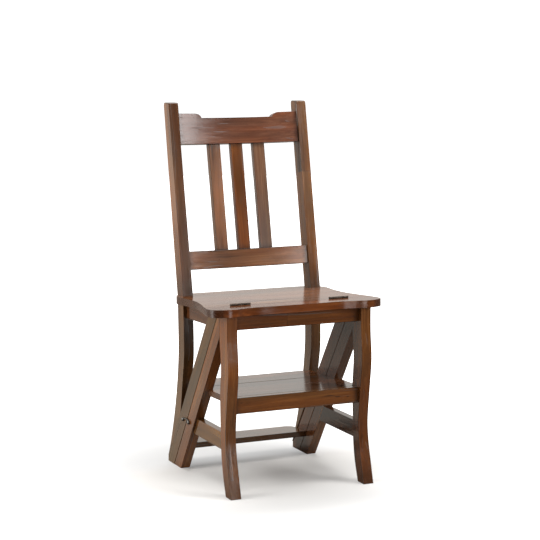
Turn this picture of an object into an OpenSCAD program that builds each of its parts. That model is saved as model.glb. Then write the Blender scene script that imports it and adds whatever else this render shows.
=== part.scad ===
// Step chair in stained hardwood. The chair is split along a sloping line in each side. The rear
// half, with the seat board and the back, turns over on two butt hinges in the seat and stands
// on the tops of its posts, and the chair becomes a library step with four treads.
// Millimetres, +Z up, +Y towards the back, +X to the right seen from the front, and left and right
// in the names are as seen from there. The origin is on the floor, in the middle of the box.

/* [Overall] */
// Height of the back posts above the floor
total_h = 900; // [870:2:930]
// Width across the legs and the back posts
body_w = 370; // [350:2:390]
// Height of the seat's top on its hinge line
seat_h = 441; // [430:1:452]
// Fall of the seat, the shelf and the treads towards the back, in degrees
fall = 1.7; // [0.5:0.1:3]

/* [Seat] */
// Thickness of the seat boards
seat_t = 18; // [16:0.5:21]
// Distance from the toes to the hinge line
hinge_y = 77.5; // [74:0.5:82]
// Width of the seat across its front corners
seat_front_w = 442; // [420:2:460]
// Width of the seat across its waist
seat_waist_w = 386; // [376:1:394]
// Width of the seat across its rear corners
seat_back_w = 401; // [392:1:412]
// Distance from the toes to the seat's nose, on the centre line
seat_nose_y = 22.5; // [20:0.5:26]
// Distance from the toes to the hollows of the serpentine front edge
seat_bay_y = 25; // [23:0.5:32]
// Distance from the toes to the lobes at the seat's front corners
seat_lobe_y = 12.5; // [10:0.5:18]
// Distance from the toes to the seat's rear edge
seat_back_y = 346; // [342:1:354]

/* [Front legs] */
// Thickness of the legs and the back posts, seen from the front
leg_t = 26; // [24:0.5:29]
// Depth of a front leg at its foot
foot_len = 32; // [28:1:36]
// Depth of a front leg at its ankle
ankle_len = 29.5; // [27:0.5:34]
// Depth of a front leg at its calf
calf_len = 42; // [38:0.5:45]
// Depth of a front leg at its knee
knee_len = 45; // [42:0.5:47]
// Depth of a front leg under the seat
leg_top_len = 45; // [43:0.5:47]
// Distance from the toe to the front of the ankle
ankle_set = 31.5; // [26:0.5:34]
// Distance from the toe to the front of the knee
knee_set = 14; // [10:0.5:17]
// Distance from the toe to the front of the leg's top
leg_top_set = 21; // [19:0.5:23]
// Height of the ankle
ankle_z = 150; // [140:1:158]
// Height of the knee
knee_z = 300; // [290:1:310]

/* [Rear legs] */
// Depth of a rear leg under the seat
rear_leg_len = 37.5; // [34:0.5:40]
// Distance from the toes to the front of a rear leg's top
rear_leg_y = 297; // [294:0.5:300]
// Distance from the toes to the rear legs' heels
heel_y = 407; // [404:1:410]

/* [Sloping stiles] */
// Thickness of the sloping stiles
stile_t = 24; // [22:0.5:25]
// Width of a front stile, square to its slope
front_stile_w = 37; // [34:0.5:39]
// Width of a rear stile, square to its slope
rear_stile_w = 40; // [37:0.5:42]
// Distance from the toes to the split between the halves, at the floor
split_foot_y = 367.5; // [364:0.5:370]
// Gap of the split between the two halves
split_gap = 2.6; // [1:0.1:3]
// Gap between the boards of the two halves, in the seat and in the shelf
board_gap = 1.4; // [0.8:0.1:2]

/* [Rails and treads] */
// Thickness of the front apron
apron_t = 20; // [16:0.5:21]
// Height of the front apron
apron_h = 34; // [28:1:38]
// Setback of the front apron behind the tops of the front legs
apron_set = 14; // [10:0.5:16]
// Thickness of the seat's side rails, the rear rail and the stretchers
rail_t = 18; // [15:0.5:19]
// Height of the seat's side rails
side_rail_h = 36; // [32:1:40]
// Height of the rail under the seat's rear edge
rear_rail_h = 40; // [34:1:44]
// Setback of that rail behind the fronts of the rear legs
rear_rail_set = 9; // [7:0.5:12]
// Height of the stretchers' undersides above the floor
stretcher_z = 104; // [98:1:110]
// Height of the stretchers
stretcher_h = 41; // [36:1:44]
// Height of the shelf's top on the hinge line's upright
shelf_h = 230; // [224:1:236]
// Thickness of the shelf boards
shelf_t = 15; // [13:0.5:17]
// Height of the rail along the shelf's front
shelf_rail_h = 38; // [34:1:42]
// Thickness of the rail along the shelf's front
shelf_rail_t = 20; // [16:0.5:22]
// Distance from the toes to that rail's face
shelf_rail_y = 33; // [31:0.5:35]
// Overhang of the shelf's ends past the stiles' inner faces
shelf_ear = 11; // [8:0.5:14]
// Distance from the toes to the shelf's rear edge
shelf_back_y = 307; // [300:1:310]
// Height of the low tread's top at its front edge
tread_h = 59; // [54:1:64]
// Thickness of the low tread
tread_t = 14; // [12:0.5:16]
// Depth of the low tread
tread_len = 80; // [76:1:84]
// Radius of the rear corners of the shelf and the low tread
tread_r = 25; // [24:1:30]

/* [Back] */
// Distance from the toes to the fronts of the posts, at the seat
post_y = 297; // [294:0.5:300]
// Depth of the posts at the seat
post_len = 38.5; // [36:0.5:40]
// Depth of the posts at their tops
post_top_len = 33; // [30:0.5:35]
// Distance from the toes to the fronts of the posts' tops
post_top_y = 387; // [380:1:392]
// Radius of the posts' top arrises
post_r = 5; // [4:0.5:7]
// Distance from the posts' tops down to the crest rail's top, along the back's slope
crest_drop = 36.5; // [28:0.5:44]
// Height of the crest rail in its middle
crest_h = 65; // [60:1:72]
// Extra height of the crest rail's raised ends
crest_step = 11; // [8:0.5:12]
// Length of each raised end, with its ogee
crest_end = 63; // [58:1:74]
// Thickness of the crest rail
crest_t = 22; // [20:0.5:23]
// Hollow of the crest rail across its length
crest_sag = 11; // [6:0.5:11]
// Height of the lower back rail's underside above the seat, along the back's slope
back_rail_low = 64; // [56:1:72]
// Height of the lower back rail
back_rail_h = 45; // [40:1:50]
// Thickness of the lower back rail
back_rail_t = 24; // [23:0.5:26]
// Hollow of the lower back rail across its length
back_rail_sag = 9; // [6:0.5:11]
// Setback of the back rails' ends behind the posts' fronts
back_set = 6; // [4:0.5:7]
// Width of a slat
slat_w = 31.5; // [28:0.5:34]
// Thickness of a slat
slat_t = 15; // [12:0.5:15.5]
// Distance between the slats' centres
slat_pitch = 59.5; // [54:0.5:68]
// Distance of the middle slat from the centre line, to the left
slat_shift = 4.5; // [0:0.5:8]
// Setback of the slats' lower ends behind the posts' fronts
slat_set = 18.5; // [17:0.5:20]
// Further setback of the slats' upper ends, for the deeper hollow of the crest rail
slat_lean = 2; // [0:0.5:4]
// Turn of the outer slats, in degrees, so that they follow the hollow of the rails
slat_turn = 3; // [0:0.5:4]

/* [Hinges] */
// Length of a hinge
hinge_len = 51; // [45:1:56]
// Distance from the centre line to the middle of a hinge
hinge_x = 127.5; // [118:0.5:135]
// Outside diameter of the knuckles
knuckle_d = 4.8; // [4.6:0.1:6]
// Diameter of a hinge pin
pin_d = 2.6; // [2.4:0.1:2.8]
// Running clearance round a pin or a pivot
run_gap = 0.05; // [0.03:0.01:0.09]
// Thickness of a hinge leaf
leaf_t = 1.3; // [1.1:0.1:1.5]
// Height of a hinge leaf below the seat's top
leaf_h = 14; // [12:0.5:15]

/* [Hooks] */
// Height of the hooks above the floor
hook_z = 129; // [122:1:140]
// Distance from the split to a hook's pivot
hook_pivot_set = 16; // [14:0.5:27]
// Distance from the split to a hook's keeper
hook_keeper_set = 21; // [15:0.5:23]
// Thickness of a hook
hook_t = 2.5; // [2:0.1:3]
// Diameter of the pivot's and the keeper's necks
neck_d = 4; // [3.6:0.1:4.6]
// Outside diameter of a hook's eye
hook_eye_d = 11; // [10:0.5:12]
// Height of a hook's arm
hook_arm_h = 4.5; // [4:0.1:5]

/* [Joinery] */
// Glue line between pieces of one half
glue = 0.1; // [0.05:0.01:0.15]
// Length of the tenons
tenon_len = 15; // [12:0.5:17]
// Shoulder above and below a tenon
shoulder = 6; // [4:0.5:7]
// Diameter of the dowels that hold the posts
dowel_d = 12; // [10:0.5:14]
// Length of a dowel in the post, and again in the leg
dowel_len = 32; // [26:1:36]
// Diameter of the screws' shanks
screw_d = 2.6; // [2.2:0.1:2.8]
// Length of the screws in the wood
screw_len = 15; // [12:0.5:16]

/* [Hidden] */
$fn = 48;
eps = 0.01;
over = 1;

half_w = body_w / 2;
leg_in = half_w - leg_t;
stile_in = half_w - stile_t;
half_gap = split_gap / 2;
half_board_gap = board_gap / 2;
slope = tan(fall);

// Heights of the sloping seat, of its underside and of the shelf at a distance from the toes
function seat_top(y) = seat_h - (y - hinge_y) * slope;
function seat_low(y) = seat_top(y) - seat_t / cos(fall);
function shelf_top(y) = shelf_h - (y - hinge_y) * slope;
function wood_top(y) = seat_low(y) - glue;

// The split runs straight from the seat's underside on the hinge line to the floor
split_top_z = seat_low(hinge_y);
split_run = split_foot_y - hinge_y;
split_angle = atan2(split_top_z, split_run);
front_stile_run = front_stile_w / sin(split_angle);
rear_stile_run = rear_stile_w / sin(split_angle);
function split_y(z) = split_foot_y - z * split_run / split_top_z;
function split_z(y) = (split_foot_y - y) * split_top_z / split_run;

// Smooth curve through a list of points, with steps points to each span
function along(a, b, c, d, t) = 0.5 * (2 * b + (c - a) * t
    + (2 * a - 5 * b + 4 * c - d) * t * t + (3 * b - a - 3 * c + d) * t * t * t);
function curve(p, steps) = let (last = len(p) - 1) concat(
    [for (i = [0 : last - 1]) for (k = [0 : steps - 1])
        along(p[max(i - 1, 0)], p[i], p[i + 1], p[min(i + 2, last)], k / steps)],
    [p[last]]);
function reversed(p) = [for (i = [len(p) - 1 : -1 : 0]) p[i]];
function mirrored(p) = [for (i = [len(p) - 1 : -1 : 0]) [-p[i][0], p[i][1]]];
function arc(c, r, a0, a1, steps) = [for (k = [0 : steps])
    c + r * [cos(a0 + (a1 - a0) * k / steps), sin(a0 + (a1 - a0) * k / steps)]];

// Profile of a front leg, seen from the side: distance from the toe and height
leg_back_y = leg_top_set + leg_top_len;
calf_z = (ankle_z + knee_z) / 2;
calf_set = (ankle_set + knee_set) / 2;
straight_z = split_z(leg_back_y + front_stile_run) - 8;
front_leg_front = curve([
    [0, 0], [ankle_set * 0.44, ankle_z / 3], [ankle_set * 0.85, ankle_z * 2 / 3],
    [ankle_set, ankle_z], [calf_set, calf_z], [knee_set, knee_z],
    [leg_top_set - 1, straight_z], [leg_top_set, wood_top(leg_top_set)]], 5);
front_leg_back = curve([
    [foot_len, 0], [foot_len * 0.41 + (ankle_set + ankle_len) * 0.59, ankle_z / 3],
    [foot_len * 0.09 + (ankle_set + ankle_len) * 0.91, ankle_z * 2 / 3],
    [ankle_set + ankle_len, ankle_z], [calf_set + calf_len, calf_z],
    [knee_set + knee_len, knee_z], [leg_back_y, straight_z]], 5);
front_leg_profile = concat(reversed(front_leg_front), front_leg_back,
    [[leg_back_y, wood_top(leg_back_y)]]);

// Profile of a rear leg: it leans back at the foot and runs out along the rear stile
rear_line_foot = split_foot_y + half_gap + rear_stile_run;
heel_z = (rear_line_foot - heel_y) * split_top_z / split_run;
rear_leg_back_y = rear_leg_y + rear_leg_len;
rear_leg_bow = 3.5;
rear_leg_front = curve([
    [rear_leg_y, wood_top(rear_leg_y)], [rear_leg_y - rear_leg_bow, knee_z + 40],
    [rear_leg_y - rear_leg_bow, knee_z - 12], [rear_leg_y + 3, knee_z - 50],
    [rear_leg_y + 12, knee_z - 96], [rear_leg_y + 20, ankle_z + 8],
    [rear_leg_y + 30, ankle_z - 40]], 5);
rear_leg_back = curve([
    [rear_leg_back_y, wood_top(rear_leg_back_y)],
    [rear_leg_back_y - rear_leg_bow, knee_z + 20], [rear_leg_back_y - 2, knee_z - 20],
    [rear_leg_back_y + 4, knee_z - 66], [rear_leg_back_y + 15, knee_z - 120],
    [rear_leg_back_y + 31, ankle_z - 28], [heel_y - 19, ankle_z / 3 + 6],
    [heel_y, heel_z]], 5);
rear_leg_profile = concat(reversed(rear_leg_front), rear_leg_back);

// Profiles of the stiles on the two sides of the split
function rear_line_y(z) = split_y(z) + half_gap + rear_stile_run;
front_line_top = split_z(leg_back_y + glue + half_gap + front_stile_run);
front_stile_profile = [
    [split_foot_y - half_gap - front_stile_run, 0], [split_foot_y - half_gap, 0],
    [hinge_y - half_gap, wood_top(hinge_y)], [leg_back_y + glue, wood_top(leg_back_y)],
    [leg_back_y + glue, front_line_top]];
rear_stile_profile = [
    [split_foot_y + half_gap, 0], [heel_y, 0], [heel_y, heel_z],
    [hinge_y + half_gap + rear_stile_run, split_top_z], [hinge_y + half_gap, wood_top(hinge_y)]];
// Rear corner of the rear stile's top, where its rear edge meets the seat's underside
rear_stile_top_y = hinge_y + half_gap + rear_stile_run;
// What the rear leg and the side rail leave free for the rear stile
rear_stile_room = [
    [split_foot_y, -over], [rear_line_y(-over) + glue, -over],
    [rear_stile_top_y + glue, split_top_z], [hinge_y, split_top_z]];

// Profile of a back post, with rounded top arrises
back_angle = atan2(post_top_y - post_y, total_h - seat_top(post_y));
post_profile = concat(
    [[post_y, seat_top(post_y) + glue], [post_y + post_len, seat_top(post_y + post_len) + glue]],
    arc([post_top_y + post_top_len - post_r, total_h - post_r], post_r, 0, 90, 4),
    arc([post_top_y + post_r, total_h - post_r], post_r, 90, 180, 4));

// Height of the crest rail's underside above the seat, along the back's slope
crest_low = (total_h - seat_top(post_y)) / cos(back_angle) - crest_drop - crest_h;

// The overall box, front to back, puts the origin in its middle
back_reach = max([for (p = post_profile) p[0]]);
mid_y = back_reach / 2;

// Extrudes a side profile of distances and heights between two distances from the centre
module plate(profile, x0, x1) {
    translate([x0, 0, 0])
        rotate([90, 0, 90])
            linear_extrude(x1 - x0)
                polygon(profile);
}

// A box from its two corners, grown by a gap on every side
module block(low, high, gap = 0) {
    translate(low - [gap, gap, gap])
        cube(high - low + 2 * [gap, gap, gap]);
}

// Moves a piece from the toes' frame to the chair's own frame, on one side or on the centre
module placed(side = 1) {
    translate([0, -mid_y, 0])
        mirror([side < 0 ? 1 : 0, 0, 0])
            children();
}

// A flat board that falls towards the back, its top at height h on the hinge line
module falling(h, t) {
    translate([0, hinge_y, h])
        rotate([-fall, 0, 0])
            translate([0, -hinge_y, -t])
                linear_extrude(t)
                    children();
}

// The back's own frame: X across, Y square to the posts' fronts, Z up along their slope
module on_back() {
    translate([0, post_y, seat_top(post_y)])
        rotate([-back_angle, 0, 0])
            children();
}

// Tenons on the right-hand end of each rail, grown by a gap when they cut a mortise
apron_y = leg_top_set + apron_set;
module apron_tenon(gap = 0) {
    block([leg_in - over, apron_y + shoulder, wood_top(apron_y) - apron_h + shoulder],
        [leg_in + tenon_len, apron_y + apron_t - shoulder, wood_top(apron_y) - shoulder], gap);
}
module shelf_rail_tenon(gap = 0) {
    block([leg_in - over, shelf_rail_y + shoulder, shelf_top(0) - shelf_rail_h + shoulder],
        [leg_in + tenon_len, shelf_rail_y + shelf_rail_t - shoulder, shelf_top(0) - 2 * shoulder],
        gap);
}
stretcher_in = stile_in;
stretcher_out = stile_in + rail_t;
module stretcher_tenon(gap = 0) {
    block([stretcher_in + shoulder - over, calf_set + calf_len - 2 * shoulder - tenon_len / 2,
            stretcher_z + shoulder],
        [stretcher_out - shoulder + over, hinge_y + shoulder, stretcher_z + stretcher_h - shoulder],
        gap);
}
rear_rail_y = rear_leg_y + rear_rail_set;
// The rear rail's tenons stop short of the dowels in the legs
rear_tenon_len = leg_t / 2 - dowel_d / 2 - 2;
module rear_rail_tenon(gap = 0) {
    block([leg_in - over, rear_rail_y + shoulder, wood_top(rear_rail_y) - rear_rail_h + shoulder],
        [leg_in + rear_tenon_len, rear_rail_y + rail_t - shoulder,
            wood_top(rear_rail_y + rail_t) - shoulder], gap);
}
module back_rail_tenon(low, h, t, gap = 0) {
    block([leg_in - over, back_set + shoulder / 2, low + shoulder],
        [leg_in + tenon_len, back_set + t - shoulder / 2, low + h - shoulder], gap);
}
// The slats' own frame: they tip back a little more than the posts do
slat_low = back_rail_low + back_rail_h;
module on_slat(k) {
    translate([k * slat_pitch - slat_shift, slat_set, slat_low])
        rotate([-atan2(slat_lean, crest_low - slat_low), 0, 0])
            rotate([0, 0, -k * slat_turn])
                children();
}
module slat_tenons(k, gap = 0) {
    on_slat(k)
        block([-slat_w / 2 + shoulder / 2, slat_t / 4, -2 * shoulder],
            [slat_w / 2 - shoulder / 2, slat_t * 3 / 4, crest_low - slat_low + 2 * shoulder], gap);
}
module shelf_tab(gap = 0) {
    y = (split_y(shelf_h) + half_gap + rear_line_y(shelf_h)) / 2;
    block([stile_in - over, y - 14, shelf_top(y) - shelf_t + 4],
        [stile_in + 5, y + 14, shelf_top(y) - 4], gap);
}
module tread_tab(gap = 0) {
    y = (split_y(tread_h) + half_gap + rear_line_y(tread_h)) / 2;
    block([stile_in - over, y - 14, tread_top(y) - tread_t + 4],
        [stile_in + 5, y + 14, tread_top(y) - 4], gap);
}

// Outline of the whole seat from above, with its serpentine front and waisted sides
seat_front = seat_front_w / 2;
seat_waist = seat_waist_w / 2;
seat_back = seat_back_w / 2;
seat_right = curve([
    [0, seat_nose_y], [seat_front * 0.27, seat_nose_y * 0.6 + seat_bay_y * 0.4],
    [seat_front * 0.5, seat_bay_y], [seat_front * 0.64, (seat_bay_y + seat_lobe_y) / 2 + 1],
    [seat_front * 0.74, seat_lobe_y + 1.2], [seat_front * 0.81, seat_lobe_y],
    [seat_front * 0.885, seat_lobe_y + 4], [seat_front * 0.95, seat_lobe_y + 11.5],
    [seat_front * 0.988, seat_lobe_y + 22], [seat_front, seat_lobe_y + 38],
    [seat_front - 3.5, seat_lobe_y + 62], [seat_waist * 0.35 + seat_front * 0.65, seat_lobe_y + 88],
    [seat_waist * 0.65 + seat_front * 0.35, seat_lobe_y + 122], [seat_waist + 2.5, seat_lobe_y + 160],
    [seat_waist, seat_lobe_y + 196], [seat_waist + 2.5, seat_lobe_y + 236],
    [seat_back - 1, seat_back_y - 70], [seat_back, seat_back_y - 48],
    [seat_back - 7, seat_back_y - 26], [seat_back - 22, seat_back_y - 8],
    [seat_back - 46, seat_back_y - 1], [seat_back * 0.5, seat_back_y], [0, seat_back_y]], 5);
seat_outline = concat(seat_right, mirrored([for (i = [1 : len(seat_right) - 2]) seat_right[i]]));

// Hinge axis, just above the seat's top on the hinge line, in the seat's own frame
knuckle_r = knuckle_d / 2;
axis_lift = knuckle_r + 0.3;
knuckle_count = 5;
knuckle_len = hinge_len / knuckle_count;
knuckle_gap = 0.15;
leaf_gap = 0.1;
leaf_screws = [-hinge_len / 3, 0, hinge_len / 3];
leaf_screw_z = -leaf_h / 2;
screw_head_r = 2.5;

// The seat's own frame on the hinge line: Z square to the seat, Y along its fall
module on_seat() {
    translate([0, hinge_y, seat_h])
        rotate([-fall, 0, 0])
            children();
}

// Recess for one leaf in the edge of a board, dir -1 in the front strip and +1 in the rear board
module leaf_recess(dir) {
    on_seat()
        for (side = [-1, 1])
            translate([side * hinge_x, 0, 0])
                block([-hinge_len / 2 - glue, min(0, dir * (leaf_gap + leaf_t + glue)),
                        -leaf_h - glue],
                    [hinge_len / 2 + glue, max(0, dir * (leaf_gap + leaf_t + glue)), over]);
}

// Pilot holes for the leaf screws
module leaf_screw_holes(dir) {
    on_seat()
        for (side = [-1, 1], x = leaf_screws)
            translate([side * hinge_x + x, 0, leaf_screw_z])
                rotate([-90 * dir, 0, 0])
                    cylinder(h = screw_len + glue + leaf_t, d = screw_d + 2 * glue);
}

// One hinge leaf with its knuckles, centred on the hinge
module hinge_leaf(dir, odd) {
    y0 = min(dir * leaf_gap, dir * (leaf_gap + leaf_t));
    difference() {
        union() {
            block([-hinge_len / 2, y0, -leaf_h], [hinge_len / 2, y0 + leaf_t, -leaf_gap]);
            for (k = [odd : 2 : knuckle_count - 1])
                translate([-hinge_len / 2 + (k + 0.5) * knuckle_len, 0, 0]) {
                    block([-knuckle_len / 2 + knuckle_gap, y0, -1],
                        [knuckle_len / 2 - knuckle_gap, y0 + leaf_t,
                            axis_lift - pin_d / 2 - 0.45]);
                    translate([-knuckle_len / 2 + knuckle_gap, 0, axis_lift])
                        rotate([0, 90, 0])
                            cylinder(h = knuckle_len - 2 * knuckle_gap, r = knuckle_r);
                }
        }
        translate([-hinge_len / 2 - over, 0, axis_lift])
            rotate([0, 90, 0])
                cylinder(h = hinge_len + 2 * over, r = pin_d / 2 + run_gap);
        for (x = leaf_screws)
            translate([x, dir * leaf_gap, leaf_screw_z])
                rotate([-90 * dir, 0, 0]) {
                    translate([0, 0, -eps])
                        cylinder(h = leaf_t + 2 * eps, r1 = screw_head_r + glue,
                            r2 = screw_d / 2 + glue);
                }
    }
}

// One countersunk leaf screw, head at the origin, pointing along +Z
module leaf_screw() {
    cylinder(h = leaf_t, r1 = screw_head_r, r2 = screw_d / 2);
    translate([0, 0, leaf_t - eps])
        cylinder(h = screw_len - leaf_t, d = screw_d);
}

module leaf_screws(dir) {
    color("goldenrod")
        placed()
            on_seat()
                for (side = [-1, 1], x = leaf_screws)
                    translate([side * hinge_x + x, dir * leaf_gap, leaf_screw_z])
                        rotate([-90 * dir, 0, 0])
                            leaf_screw();
}

// Places of the hook's pivot and keeper on the outer face of a side
pivot_y = split_y(hook_z) - hook_pivot_set;
keeper_y = split_y(hook_z) + hook_keeper_set;
hook_reach = hook_keeper_set + hook_pivot_set;
hook_off = 0.6;
hook_head_t = 2.4;
module side_bore(y, d) {
    translate([half_w - screw_len, y, hook_z])
        rotate([0, 90, 0])
            cylinder(h = screw_len + over, d = d);
}

// A stud with a domed head: neck through the hook, shank in the wood
module stud(y, head_d) {
    head_x = half_w + hook_off + hook_t + 0.3;
    translate([0, y, hook_z])
        rotate([0, 90, 0]) {
            translate([0, 0, half_w - screw_len + 0.5])
                cylinder(h = head_x - half_w + screw_len - 0.5 + eps, d = neck_d);
            translate([0, 0, half_w + glue])
                cylinder(h = hook_off - glue - 0.2, d = neck_d + 3);
            translate([0, 0, head_x])
                rotate_extrude()
                    polygon(concat([[0, 0]], [for (k = [0 : 6])
                        [head_d / 2 * cos(k * 15), hook_head_t * sin(k * 15)]]));
        }
}

// A hook: an eye on the pivot, a raised arm and a nose that drops over the keeper
module hook() {
    nose_r = neck_d / 2 + 3;
    slot_r = neck_d / 2 + 0.4;
    translate([half_w + hook_off, pivot_y, hook_z])
        rotate([90, 0, 90])
            linear_extrude(hook_t)
                difference() {
                    union() {
                        circle(d = hook_eye_d);
                        translate([0, hook_arm_h * 0.35])
                            polygon(concat(
                                [for (k = [0 : 8]) [k * hook_reach / 8,
                                    1.5 * sin(k * 22.5) + 0.5 * k / 8]],
                                [for (k = [8 : -1 : 0]) [k * hook_reach / 8,
                                    hook_arm_h + 1.5 * sin(k * 22.5) - 1.5 * k / 8]]));
                        translate([hook_reach, 0])
                            circle(r = nose_r);
                    }
                    circle(d = neck_d + 2 * run_gap);
                    translate([hook_reach, 0])
                        circle(r = slot_r);
                    translate([hook_reach - slot_r, -nose_r - over])
                        square([2 * slot_r, nose_r + over]);
                }
}

// Front half

module front_leg(side) {
    color("saddlebrown")
        placed(side)
            difference() {
                plate(front_leg_profile, leg_in, half_w);
                apron_tenon(glue);
                shelf_rail_tenon(glue);
                stretcher_tenon(glue);
            }
}

module front_apron() {
    y1 = apron_y + apron_t;
    low = wood_top(apron_y) - apron_h;
    color("sienna")
        placed() {
            plate([[apron_y, low], [y1, low], [y1, wood_top(y1)], [apron_y, wood_top(apron_y)]],
                -leg_in + glue, leg_in - glue);
            for (side = [-1, 1])
                mirror([side < 0 ? 1 : 0, 0, 0])
                    apron_tenon();
        }
}

module seat_front_strip() {
    color("peru")
        placed()
            difference() {
                intersection() {
                    falling(seat_h, seat_t)
                        polygon(seat_outline);
                    on_seat()
                        block([-seat_front, -seat_back_y, -seat_t - over],
                            [seat_front, -half_board_gap, over]);
                }
                leaf_recess(-1);
                leaf_screw_holes(-1);
            }
}

module front_stile(side) {
    color("saddlebrown")
        placed(side)
            difference() {
                plate(front_stile_profile, stile_in, half_w);
                side_bore(pivot_y, neck_d + 2 * glue);
            }
}

module stretcher(side) {
    top = stretcher_z + stretcher_h;
    front = calf_set + calf_len + 4;
    color("saddlebrown")
        placed(side) {
            difference() {
                plate([[ankle_set + ankle_len - 6, stretcher_z],
                    [split_y(stretcher_z) - half_gap - front_stile_run - glue, stretcher_z],
                    [split_y(top) - half_gap - front_stile_run - glue, top],
                    [ankle_set + ankle_len - 6, top]], stretcher_in, stretcher_out);
                translate([0, glue, 0])
                    plate(front_leg_profile, leg_in - over, half_w + over);
            }
            intersection() {
                stretcher_tenon();
                block([0, 0, 0], [half_w, front, total_h]);
            }
        }
}

module shelf_front_rail() {
    y1 = shelf_rail_y + shelf_rail_t;
    low = shelf_top(shelf_rail_y) - shelf_rail_h;
    color("sienna")
        placed() {
            plate([[shelf_rail_y, low], [y1, low], [y1, shelf_top(y1)],
                [shelf_rail_y, shelf_top(shelf_rail_y)]], -leg_in + glue, leg_in - glue);
            for (side = [-1, 1])
                mirror([side < 0 ? 1 : 0, 0, 0])
                    shelf_rail_tenon();
        }
}

shelf_split_y = split_y(shelf_h);
module shelf_front_board() {
    y0 = shelf_rail_y + shelf_rail_t + glue + shelf_t * slope;
    ear = stile_in + shelf_ear;
    color("peru")
        placed()
            difference() {
                falling(shelf_h, shelf_t)
                    polygon([[-ear, y0], [ear, y0], [ear, shelf_split_y - half_board_gap],
                        [-ear, shelf_split_y - half_board_gap]]);
                for (side = [-1, 1])
                    mirror([side < 0 ? 1 : 0, 0, 0]) {
                        translate([0, glue, 0])
                            plate(front_leg_profile, leg_in - glue, half_w + over);
                        block([leg_in - glue, 0, 0], [half_w, ankle_set + ankle_len, seat_h]);
                        translate([0, -glue, 0])
                            plate(front_stile_profile, stile_in - glue, half_w + over);
                        block([stile_in - glue, shelf_split_y - front_stile_run, 0],
                            [half_w, seat_back_y, seat_h]);
                    }
            }
}

module hinge_leaf_front(side) {
    color("dimgray")
        placed()
            on_seat()
                translate([side * hinge_x, 0, 0])
                    hinge_leaf(-1, 0);
}

module hinge_pins() {
    color("gray")
        placed()
            on_seat()
                for (side = [-1, 1])
                    translate([side * hinge_x - hinge_len / 2, 0, axis_lift])
                        rotate([0, 90, 0])
                            cylinder(h = hinge_len, d = pin_d);
}

module hook_pivots() {
    color("dimgray")
        for (side = [-1, 1])
            placed(side)
                stud(pivot_y, hook_eye_d);
}

// Rear half

module seat_board() {
    color("peru")
        placed()
            difference() {
                intersection() {
                    falling(seat_h, seat_t)
                        polygon(seat_outline);
                    on_seat()
                        block([-seat_front, half_board_gap, -seat_t - over],
                            [seat_front, seat_back_y, over]);
                }
                leaf_recess(1);
                leaf_screw_holes(1);
                for (side = [-1, 1])
                    translate([side * (half_w - leg_t / 2), dowel_y, 0])
                        cylinder(h = total_h, d = dowel_d + 2 * glue);
            }
}

// The dowels stand upright through the seat, from the legs into the posts
dowel_y = post_y + post_len * 0.55;
dowel_mid = seat_top(dowel_y) - seat_t / 2;
module dowel_bore() {
    translate([half_w - leg_t / 2, dowel_y, dowel_mid - seat_t / 2 - dowel_len - 0.5])
        cylinder(h = seat_t + 2 * dowel_len + 1, d = dowel_d + 2 * glue);
}

module post_dowels() {
    color("tan")
        for (side = [-1, 1])
            placed(side)
                translate([half_w - leg_t / 2, dowel_y, dowel_mid - seat_t / 2 - dowel_len])
                    cylinder(h = seat_t + 2 * dowel_len, d = dowel_d);
}

module back_post(side) {
    color("saddlebrown")
        placed(side)
            difference() {
                plate(post_profile, leg_in, half_w);
                on_back() {
                    back_rail_tenon(crest_low, crest_h, crest_t, glue);
                    back_rail_tenon(back_rail_low, back_rail_h, back_rail_t, glue);
                }
                dowel_bore();
            }
}

// Front view of the crest rail, right half, from its middle round to the post
crest_half = leg_in - glue;
crest_top = crest_low + crest_h;
ogee_w = crest_step * 1.6;
crest_view = concat(
    [[0, crest_low], [crest_half, crest_low], [crest_half, crest_top + crest_step]],
    [for (k = [0 : 6]) [crest_half - crest_end + ogee_w * (1 - sin(k * 15)),
        crest_top + crest_step * cos(k * 15)]],
    [[0, crest_top]]);
// Radius of a back rail's hollow face, from its chord and its hollow
function hollow_radius(sag) = (crest_half * crest_half + sag * sag) / (2 * sag);

// The bend of a back rail: a ring about an upright axis, its front face hollow by sag
module bend(low, h, t, sag) {
    radius = hollow_radius(sag);
    translate([0, back_set + sag - radius, low - over])
        difference() {
            cylinder(h = h + 2 * over, r = radius + t, $fn = 360);
            translate([0, 0, -over])
                cylinder(h = h + 4 * over, r = radius, $fn = 360);
        }
}

module crest_rail() {
    color("sienna")
        placed()
            on_back()
                difference() {
                    union() {
                        intersection() {
                            translate([0, 2 * crest_t + crest_sag, 0])
                                rotate([90, 0, 0])
                                    linear_extrude(3 * crest_t + crest_sag)
                                        polygon(concat(crest_view, mirrored(crest_view)));
                            bend(crest_low, crest_h + crest_step, crest_t, crest_sag);
                        }
                        for (side = [-1, 1])
                            mirror([side < 0 ? 1 : 0, 0, 0])
                                back_rail_tenon(crest_low, crest_h, crest_t);
                    }
                    for (k = [-1 : 1])
                        slat_tenons(k, glue);
                }
}

module lower_back_rail() {
    color("sienna")
        placed()
            on_back()
                difference() {
                    union() {
                        intersection() {
                            block([-crest_half, back_set - over, back_rail_low],
                                [crest_half, back_set + back_rail_t + 2 * back_rail_sag,
                                    back_rail_low + back_rail_h]);
                            bend(back_rail_low, back_rail_h, back_rail_t, back_rail_sag);
                        }
                        for (side = [-1, 1])
                            mirror([side < 0 ? 1 : 0, 0, 0])
                                back_rail_tenon(back_rail_low, back_rail_h, back_rail_t);
                    }
                    for (k = [-1 : 1])
                        slat_tenons(k, glue);
                }
}

module slat(k) {
    color("sienna")
        placed()
            on_back() {
                intersection() {
                    on_slat(k)
                        block([-slat_w / 2, 0, -shoulder], [slat_w / 2, slat_t, crest_low]);
                    block([-leg_in, 0, slat_low + glue], [leg_in, post_len, crest_low - glue]);
                }
                slat_tenons(k);
            }
}

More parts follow.
